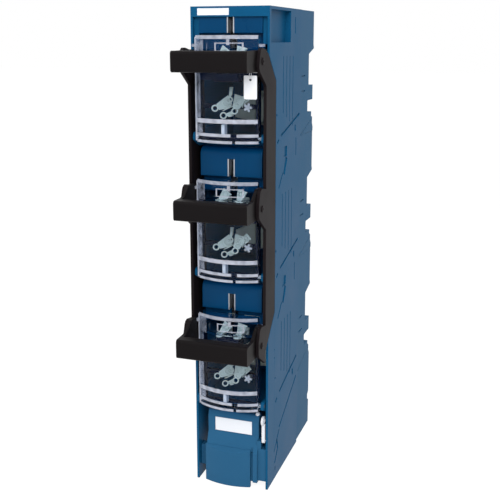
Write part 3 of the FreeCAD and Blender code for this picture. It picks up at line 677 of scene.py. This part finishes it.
def facing_turn(facing: Facing) -> Matrix:
    """Return the turn that takes a piece from facing the front to another facing."""
    angles = {Facing.FRONT: 0.0, Facing.RIGHT: math.pi / 2, Facing.LEFT: -math.pi / 2}
    return Matrix.Rotation(angles[facing], 4, "Z")


def fit_on(piece: bpy.types.Object, body: str) -> None:
    """Let a piece ride on a body.

    Args:
        piece: the finished piece.
        body: the body's name in the record.
    """
    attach(piece, body)
    LOG.info("%s rides on %s", piece.name, body)


@dataclass
class PackedSolids:
    """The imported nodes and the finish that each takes."""

    finishes: Finishes
    by_start: tuple[tuple[str, Finish], ...] = (
        ("front_housing", Finish.HOUSING),
        ("side_wall", Finish.HOUSING),
        ("hinge_brackets", Finish.HOUSING),
        ("header_label", Finish.CARD),
        ("pole_base", Finish.MODULE),
        ("arc_chute", Finish.CHUTE),
        ("arc_plates", Finish.LINER),
        ("busbar_terminal", Finish.COPPER),
        ("upper_contact", Finish.COPPER),
        ("lower_contact", Finish.COPPER),
        ("load_bar", Finish.COPPER),
        ("jaw_springs", Finish.STEEL),
        ("terminal_studs", Finish.STEEL),
        ("phase_barriers", Finish.MODULE),
        ("cover_latch", Finish.NYLON),
        ("cover_", Finish.CLEAR),
        ("fuse_carrier", Finish.CARRIER),
        ("claws", Finish.COPPER),
        ("carrier_stud", Finish.STEEL),
        ("handle", Finish.HANDLE),
        ("hinge_pins", Finish.STEEL),
        ("rail_pins", Finish.RAIL),
        ("rail", Finish.RAIL),
        ("terminal_cover", Finish.APRON),
        ("terminal_label", Finish.CARD),
        ("nylon_clip", Finish.NYLON),
        ("clip_pivot", Finish.STEEL),
        ("seal_peg", Finish.NYLON),
        ("tag_tie", Finish.NYLON),
        ("info_tag", Finish.CARD),
    )

    def dress_all(self, nodes: dict[str, bpy.types.Object]) -> None:
        """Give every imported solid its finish.

        Args:
            nodes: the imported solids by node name.
        """
        for name, node in nodes.items():
            finish = next(finish for start, finish in self.by_start if name.startswith(start))
            dress(node, self.finishes.get(finish))
            LOG.info("%s takes %s", name, finish.value.name)


@dataclass
class PivotHeads:
    """Domed heads of the pins that join the gang frame's rails to the handles."""

    finishes: Finishes
    radius: float = 4.6 * MM
    height: float = 1.1 * MM
    rim: float = 0.77 * MM
    rim_segments: int = 3
    socket_radius: float = 1.7 * MM
    socket_depth: float = 0.66 * MM
    facets: int = 28
    side: float = 53.5 * MM
    pin_y: float = -230.0 * MM
    pin_height: float = 18.5 * MM

    def model(self) -> bpy.types.Object:
        """Model one head at the origin, facing the front, with a bevelled rim and a hollow.

        Returns:
            The head.
        """
        deselect()
        bpy.ops.mesh.primitive_cylinder_add(
            vertices=self.facets,
            radius=self.radius,
            depth=self.height,
            location=(0, -self.height / 2, 0),
            rotation=(math.pi / 2, 0, 0),
        )
        head = bpy.context.object
        bpy.ops.object.transform_apply(location=True, rotation=True, scale=True)
        pick_faces(head, lambda face: face.normal.y < LOW_SIDE)
        bpy.ops.mesh.bevel(offset=self.rim, segments=self.rim_segments, affect="EDGES")
        bpy.ops.object.mode_set(mode="OBJECT")
        pick_faces(head, lambda face: face.normal.y < SQUARE_LOW_SIDE)
        bpy.ops.mesh.inset(thickness=self.radius - self.rim - self.socket_radius)
        inwards = (0, self.socket_depth, 0)
        bpy.ops.mesh.extrude_region_move(TRANSFORM_OT_translate={"value": inwards})
        settle(head, "pivot_head", self.finishes.get(Finish.RAIL))
        return head

    def build(self) -> None:
        """Place a head at each end of each pole's pins."""
        head = self.model()
        for pole in POLES:
            for label, facing in (("right", Facing.RIGHT), ("left", Facing.LEFT)):
                side = math.copysign(self.side, facing.value[0])
                place = Vector((side, self.pin_y, pole_height(pole) + self.pin_height))
                copy = place_copy(head, f"pivot_head_{label}_{pole}", place, facing_turn(facing))
                fit_on(copy, "gang_frame")
        bpy.data.objects.remove(head)


@dataclass(frozen=True)
class Blade:
    """One grip blade: its place from the pole's hole, its lean in degrees, and its size."""

    label: str
    place_mm: tuple[float, float, float]
    lean: float
    length_mm: float
    width_mm: float


@dataclass
class GripBlades:
    """Bright sheet blades with an eye at the foot, which grip a fuse-link's two ends.

    The rivet's radius and the flange's side are shares of a blade's width. The heights of both,
    and the flange's length, are shares of its length.
    """

    finishes: Finishes
    thickness: float = 1.4 * MM
    dish_depth: float = 0.56 * MM
    rounding: float = 0.35 * MM
    foot_share: float = 0.5
    eye_radius: float = 3.7 * MM
    wire_radius: float = 1.0 * MM
    rivet_share: float = 0.22
    rivet_wire: float = 0.8 * MM
    rivet_rise: float = 0.62
    flange_depth: float = 4.0 * MM
    flange_thickness: float = 1.12 * MM
    flange_side: float = 0.42
    flange_rise: float = 0.55
    flange_length: float = 0.7
    flange_taper: float = 0.6
    ring_facets: int = 24
    wire_facets: int = 10
    tilt: float = -26.0
    blades: tuple[Blade, ...] = (
        Blade("upper_left", (-13.5, -210.0, 20.0), 36.0, 15.0, 14.0),
        Blade("upper_right", (13.5, -210.0, 20.0), 14.0, 14.0, 14.0),
        Blade("lower_left", (-18.0, -209.0, -42.0), 64.0, 19.0, 17.0),
        Blade("lower_right", (9.0, -209.0, -45.0), 16.0, 18.0, 18.0),
        Blade("lower_tip", (12.0, -207.5, -38.0), 48.0, 16.0, 11.0),
        Blade("lower_small", (-6.0, -210.0, -51.0), 76.0, 9.0, 7.0),
        Blade("guide", (2.0, -209.0, -31.0), 0.0, 14.0, 5.0),
    )

    def ring(
        self, radius: float, wire: float, place: tuple[float, float, float]
    ) -> bpy.types.Object:
        """Return a wire ring that faces the front.

        Args:
            radius: the radius of the ring's middle line, in metres.
            wire: the radius of its wire, in metres.
            place: the ring's centre, in metres.

        Returns:
            The ring.
        """
        deselect()
        bpy.ops.mesh.primitive_torus_add(
            major_radius=radius,
            minor_radius=wire,
            major_segments=self.ring_facets,
            minor_segments=self.wire_facets,
            location=place,
            rotation=(math.pi / 2, 0, 0),
        )
        return bpy.context.object

    def flange(self, length: float, width: float) -> bpy.types.Object:
        """Return the folded edge on a blade's right side, narrower at its front.

        Args:
            length: the blade's length in metres.
            width: its width in metres.

        Returns:
            The flange.
        """
        deselect()
        bpy.ops.mesh.primitive_cube_add(
            size=1,
            location=(
                width * self.flange_side,
                -self.flange_depth / 2,
                self.eye_radius + length * self.flange_rise,
            ),
        )
        flange = bpy.context.object
        flange.scale = (self.flange_thickness, self.flange_depth, length * self.flange_length)
        bpy.ops.object.transform_apply(location=True, rotation=True, scale=True)
        pick_faces(flange, lambda face: face.normal.y < LOW_SIDE)
        bpy.ops.transform.resize(value=(1, 1, self.flange_taper))
        return flange

    def model(self, length: float, width: float) -> bpy.types.Object:
        """Return one blade at the origin, rising from its eye.

        Args:
            length: the blade's length in metres.
            width: its width at the free end, in metres.

        Returns:
            The blade with its eye, rivet and flange as one piece.
        """
        rivet_place = (0, -self.dish_depth, self.eye_radius + length * self.rivet_rise)
        fittings = (
            self.ring(self.eye_radius, self.wire_radius, (0, 0, 0)),
            self.ring(width * self.rivet_share, self.rivet_wire, rivet_place),
            self.flange(length, width),
        )
        deselect()
        bpy.ops.mesh.primitive_cube_add(size=1, location=(0, 0, length / 2 + self.eye_radius))
        blade = bpy.context.object
        blade.scale = (width, self.thickness, length)
        bpy.ops.object.transform_apply(location=True, rotation=True, scale=True)
        pick_faces(blade, lambda face: face.normal.z < LOW_SIDE)
        bpy.ops.transform.resize(value=(self.foot_share, 1, 1))
        bpy.ops.object.mode_set(mode="OBJECT")
        pick_faces(blade, lambda face: face.normal.y < LOW_SIDE)
        bpy.ops.mesh.inset(thickness=self.thickness)
        bpy.ops.mesh.extrude_region_move(TRANSFORM_OT_translate={"value": (0, self.dish_depth, 0)})
        bpy.ops.object.mode_set(mode="OBJECT")
        soften(blade, self.rounding)
        for fitting in fittings:
            fitting.select_set(True)
        bpy.ops.object.join()
        settle(blade, "grip_blade", self.finishes.get(Finish.COPPER))
        return blade

    def build(self) -> None:
        """Place the blades behind each cover."""
        back = Matrix.Rotation(math.radians(self.tilt), 4, "X")
        for kind in self.blades:
            blade = self.model(kind.length_mm * MM, kind.width_mm * MM)
            turn = Matrix.Rotation(math.radians(kind.lean), 4, "Y") @ back
            for pole, body in COVER_BODIES.items():
                place = at_pole(pole, kind.place_mm)
                copy = place_copy(blade, f"grip_blade_{kind.label}_{pole}", place, turn)
                fit_on(copy, body)
            bpy.data.objects.remove(blade)


@dataclass(frozen=True)
class Band:
    """One band on a cover: how proud it stands, its heights and its sides, in millimetres."""

    label: str
    proud: float
    low: float
    high: float
    left: float
    right: float
    finish: Finish = Finish.SATIN


@dataclass
class PaintedSheenBands:
    """Painted highlights on each clear cover's ribs, stepped lips and window rims, and painted
    reflection strips.

    They follow the round of the cover's front, which has the curve radius.
    """

    finishes: Finishes
    curve_radius: float = 83.04 * MM
    curve_facets: int = 260
    front_y_mm: float = -225.0
    skin: float = 0.3 * MM
    # Each band is a thin white or bluish shell on the clear cover: a painted highlight or a painted
    # reflection.
    bands: tuple[Band, ...] = (
        Band("top", 0.3, 45.4, 50.0, -42.0, 42.0),
        Band("rib", 1.5, -60.0, -54.5, -42.0, 42.0),
        Band("ridge_left", -1.5, -77.5, -73.5, -42.0, 9.0),
        Band("ridge_right", -1.5, -77.5, -73.5, 15.0, 42.0),
        Band("lip_left", -1.9, -86.0, -82.5, -42.0, 10.0),
        Band("lip_right", -1.9, -86.0, -82.5, 14.0, 42.0),
        Band("window_top", 1.1, 39.7, 41.0, -12.0, 25.0),
        Band("window_bottom", 1.1, 30.0, 31.2, -12.0, 25.0),
        Band("window_left", 1.1, 31.2, 39.7, -12.5, -10.5),
        Band("window_right", 1.1, 31.2, 39.7, 23.0, 25.0),
        Band("catch", 1.1, 38.0, 45.0, 4.0, 8.0),
        # Painted reflection strips along the cover's left side, where its wall mirrors the pale
        # surround.
        Band("reflection_left", 0.3, -54.0, 22.0, -42.0, -35.0, Finish.HAZE),
        Band("reflection_low", -2.6, -73.0, -60.5, -42.0, -33.0, Finish.HAZE),
        Band("reflection_top", 0.7, 24.0, 46.4, -42.0, -30.0, Finish.HAZE),
    )
    corner_x_mm: float = -42.5
    corner_y_mm: float = -213.2
    corner_low_mm: float = -84.0
    corner_high_mm: float = 48.0
    corner_width: float = 2.4 * MM
    corner_rounding: float = 0.09 * MM

    def arc(self, band: Band) -> bpy.types.Object:
        """Return a band at the origin that follows a cover's bulged front.

        Args:
            band: its height, sides and finish.

        Returns:
            The band as a thin shell.
        """
        left, right = band.left * MM, band.right * MM
        deselect()
        bpy.ops.mesh.primitive_cylinder_add(
            vertices=self.curve_facets,
            radius=self.curve_radius,
            depth=(band.high - band.low) * MM,
            end_fill_type="NOTHING",
            location=(0, self.curve_radius, 0),
        )
        strip = bpy.context.object
        bpy.ops.object.transform_apply(location=True, rotation=True, scale=True)
        half = self.curve_radius
        pick_faces(strip, lambda face: face.center.y > half or not left < face.center.x < right)
        bpy.ops.mesh.delete(type="FACE")
        bpy.ops.object.mode_set(mode="OBJECT")
        thicken = strip.modifiers.new("thicken", "SOLIDIFY")
        thicken.thickness = self.skin
        bpy.ops.object.modifier_apply(modifier=thicken.name)
        settle(strip, "painted_sheen_band", self.finishes.get(band.finish))
        return strip

    def corner(self) -> bpy.types.Object:
        """Model the upright corner strip at the origin, with rounded edges: a painted highlight
        along the cover's left edge.

        Returns:
            The strip.
        """
        deselect()
        bpy.ops.mesh.primitive_cube_add(size=1)
        strip = bpy.context.object
        height = (self.corner_high_mm - self.corner_low_mm) * MM
        strip.scale = (self.corner_width, self.skin, height)
        bpy.ops.object.transform_apply(location=True, rotation=True, scale=True)
        soften(strip, self.corner_rounding)
        settle(strip, "painted_highlight_corner", self.finishes.get(Finish.SATIN))
        return strip

    def fit(
        self, piece: bpy.types.Object, label: str, place_mm: tuple[float, float, float]
    ) -> None:
        """Put a copy of a piece on each cover and remove the piece.

        Args:
            piece: the piece at the origin.
            label: the middle of the copies' names.
            place_mm: its place from a pole's busbar hole, in millimetres.
        """
        for pole, body in COVER_BODIES.items():
            copy = place_copy(piece, f"satin_{label}_{pole}", at_pole(pole, place_mm))
            fit_on(copy, body)
        bpy.data.objects.remove(piece)

    def build(self) -> None:
        """Place the bands and the corner strip on each cover."""
        for band in self.bands:
            middle = (band.low + band.high) / 2
            self.fit(self.arc(band), band.label, (0, self.front_y_mm - band.proud, middle))
        middle = (self.corner_low_mm + self.corner_high_mm) / 2
        self.fit(self.corner(), "corner", (self.corner_x_mm, self.corner_y_mm, middle))


@dataclass
class SmallMouldings:
    """The ears at each cover's upper corners, white as painted highlights, and the back of the
    cable cover's channel.
    """

    finishes: Finishes
    rim_share: float = 0.25
    sunk_share: float = 0.5
    ear_size_mm: tuple[float, float, float] = (6.0, 7.4, 3.4)
    ear_place_mm: tuple[float, float, float] = (45.3, -208.5, 37.5)
    back_size_mm: tuple[float, float, float] = (8.0, 1.2, 47.0)
    back_place_mm: tuple[float, float, float] = (30.0, -199.2, -361.5)

    def moulding(
        self, size: tuple[float, float, float], material: bpy.types.Material
    ) -> bpy.types.Object:
        """Return a small moulded block at the origin, with a sunk front and rounded edges.

        Args:
            size: width, depth and height in millimetres.
            material: its finish.

        Returns:
            The block.
        """
        deselect()
        bpy.ops.mesh.primitive_cube_add(size=1)
        piece = bpy.context.object
        piece.scale = tuple(length * MM for length in size)
        bpy.ops.object.transform_apply(location=True, rotation=True, scale=True)
        rim = min(size) * self.rim_share * MM
        sunk = rim * self.sunk_share
        pick_faces(piece, lambda face: face.normal.y < LOW_SIDE)
        bpy.ops.mesh.inset(thickness=rim)
        bpy.ops.mesh.extrude_region_move(TRANSFORM_OT_translate={"value": (0, sunk, 0)})
        bpy.ops.object.mode_set(mode="OBJECT")
        soften(piece, sunk)
        settle(piece, "moulding", material)
        return piece

    def ears(self) -> None:
        """Place an ear at each upper corner of each cover."""
        # The ears take the painted highlight finish: white standing in for light glinting off the
        # clear corners.
        ear = self.moulding(self.ear_size_mm, self.finishes.get(Finish.SATIN))
        x, y, z = self.ear_place_mm
        for pole, body in COVER_BODIES.items():
            for label, side in (("right", x), ("left", -x)):
                copy = place_copy(ear, f"painted_highlight_ear_{label}_{pole}", at_pole(pole, (side, y, z)))
                fit_on(copy, body)
        bpy.data.objects.remove(ear)

    def channel_back(self) -> None:
        """Close the back of the cable cover's channel."""
        # It takes the cable cover's blue, which is painted lighter for the light on the cover.
        back = self.moulding(self.back_size_mm, self.finishes.get(Finish.APRON))
        place = Vector(tuple(value * MM for value in self.back_place_mm))
        fit_on(place_copy(back, "channel_back", place), "cable_cover")
        bpy.data.objects.remove(back)

    def build(self) -> None:
        """Place the ears and the channel's back."""
        self.ears()
        self.channel_back()


@dataclass(frozen=True)
class SoftLamp:
    """One square lamp: where it hangs and aims, its side, all in metres, and its power in watts."""

    name: str
    place: tuple[float, float, float]
    aim: tuple[float, float, float]
    side: float
    power: float


@dataclass
class Studio:
    """Pale floor, plain soft light and the camera at the photograph's viewing angle."""

    floor_z: float = -393.0 * MM
    floor_gap: float = 0.2 * MM
    floor_side: float = 30.0
    floor_matt: str = "#E6E6E6"
    floor_glow: float = 1.15
    floor_glow_share: float = 0.8
    white: str = "#FFFFFF"
    seen_strength: float = 1.0
    fill_strength: float = 0.55
    lamps: tuple[SoftLamp, ...] = (
        SoftLamp("key_lamp", (0.8, -1.9, 1.3), (0, -0.15, 0), 1.4, 36),
        SoftLamp("side_lamp", (-1.7, -1.1, 0.8), (0, -0.1, 0), 1.2, 10),
        SoftLamp("top_lamp", (0.1, -0.4, 1.9), (0, -0.1, 0), 1.2, 14),
    )
    azimuth: float = 18.7
    elevation: float = 12.67
    distance: float = 1200.0 * MM
    target: tuple[float, float, float] = (-7.2 * MM, -100.0 * MM, -34.3 * MM)
    lens: float = 59.2
    sensor_width: float = 36.0
    shift_y: float = -0.05
    nearest: float = 0.05
    farthest: float = 60.0

    def floor(self) -> None:
        """Lay the floor: white to the eye and to reflections, with the object's soft shadow."""
        deselect()
        height = self.floor_z - self.floor_gap
        bpy.ops.mesh.primitive_plane_add(size=self.floor_side, location=(0, 0, height))
        plane = bpy.context.object
        plane.name = "studio_floor"
        material = new_material("studio_white")
        tree = material.node_tree
        glow = add_node(
            tree, "ShaderNodeEmission", {"Color": linear(self.white), "Strength": self.floor_glow}
        )
        matt = add_node(tree, "ShaderNodeBsdfDiffuse", {"Color": linear(self.floor_matt)})
        share = add_node(
            tree,
            "ShaderNodeMath",
            {"operation": "MULTIPLY", "1": self.floor_glow_share},
            {"0": self.seen_directly(tree)},
        )
        mix = add_node(
            tree,
            "ShaderNodeMixShader",
            links={"0": share.outputs[0], "1": matt.outputs[0], "2": glow.outputs[0]},
        )
        add_node(tree, "ShaderNodeOutputMaterial", links={"Surface": mix.outputs[0]})
        plane.data.materials.append(material)

    def seen_directly(self, tree: bpy.types.NodeTree) -> bpy.types.NodeSocket:
        """Tell rays that show the floor or the surround to the eye from rays that light.

        Args:
            tree: the node tree that gets the nodes.

        Returns:
            1 for rays from the camera, or by way of gloss or glass, and 0 for others.
        """
        path = add_node(tree, "ShaderNodeLightPath")
        first = add_node(
            tree,
            "ShaderNodeMath",
            {"operation": "MAXIMUM"},
            {"0": path.outputs["Is Camera Ray"], "1": path.outputs["Is Glossy Ray"]},
        )
        both = add_node(
            tree,
            "ShaderNodeMath",
            {"operation": "MAXIMUM"},
            {"0": first.outputs[0], "1": path.outputs["Is Transmission Ray"]},
        )
        return both.outputs[0]

    def surround(self) -> None:
        """Set a white surround that lights the object only gently."""
        world = bpy.data.worlds.new("studio_surround")
        bpy.context.scene.world = world
        world.use_nodes = True
        tree = world.node_tree
        tree.nodes.clear()
        strength = add_node(
            tree,
            "ShaderNodeMapRange",
            {"To Min": self.fill_strength, "To Max": self.seen_strength},
            {"Value": self.seen_directly(tree)},
        )
        back = add_node(
            tree,
            "ShaderNodeBackground",
            {"Color": linear(self.white)},
            {"Strength": strength.outputs[0]},
        )
        add_node(tree, "ShaderNodeOutputWorld", links={"Surface": back.outputs[0]})

    def hang(self, lamp: SoftLamp) -> None:
        """Hang one soft square lamp.

        Args:
            lamp: its place, aim, side and power.
        """
        light = bpy.data.lights.new(lamp.name, "AREA")
        light.size = lamp.side
        light.energy = lamp.power
        hung = bpy.data.objects.new(lamp.name, light)
        bpy.context.collection.objects.link(hung)
        hung.location = lamp.place
        away = Vector(lamp.place) - Vector(lamp.aim)
        hung.rotation_euler = away.to_track_quat("Z", "Y").to_euler()

    def camera(self) -> None:
        """Set up the camera from the photograph's angle."""
        data = bpy.data.cameras.new("photo_camera")
        data.sensor_width = self.sensor_width
        data.lens = self.lens
        data.shift_y = self.shift_y
        data.clip_start = self.nearest
        data.clip_end = self.farthest
        camera = bpy.data.objects.new("photo_camera", data)
        bpy.context.collection.objects.link(camera)
        turn, lift = math.radians(self.azimuth), math.radians(self.elevation)
        back = Vector(
            (math.sin(turn) * math.cos(lift), -math.cos(turn) * math.cos(lift), math.sin(lift))
        )
        camera.location = Vector(self.target) + back * self.distance
        camera.rotation_euler = back.to_track_quat("Z", "Y").to_euler()
        bpy.context.scene.camera = camera

    def build(self) -> None:
        """Build floor, surround, lamps and camera."""
        bpy.context.scene.view_settings.view_transform = "Standard"
        self.floor()
        self.surround()
        for lamp in self.lamps:
            self.hang(lamp)
        self.camera()
        LOG.info("studio is set")


def main() -> None:
    """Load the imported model, dress it, add the modelled pieces and set up the studio."""
    logging.basicConfig(level=logging.INFO, format="%(name)s: %(message)s")
    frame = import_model()
    finishes = Finishes()
    PackedSolids(finishes).dress_all(frame["nodes"])
    PivotHeads(finishes).build()
    GripBlades(finishes).build()
    PaintedSheenBands(finishes).build()
    SmallMouldings(finishes).build()
    Studio().build()
    deselect()


if __name__ == "__main__":
    main()
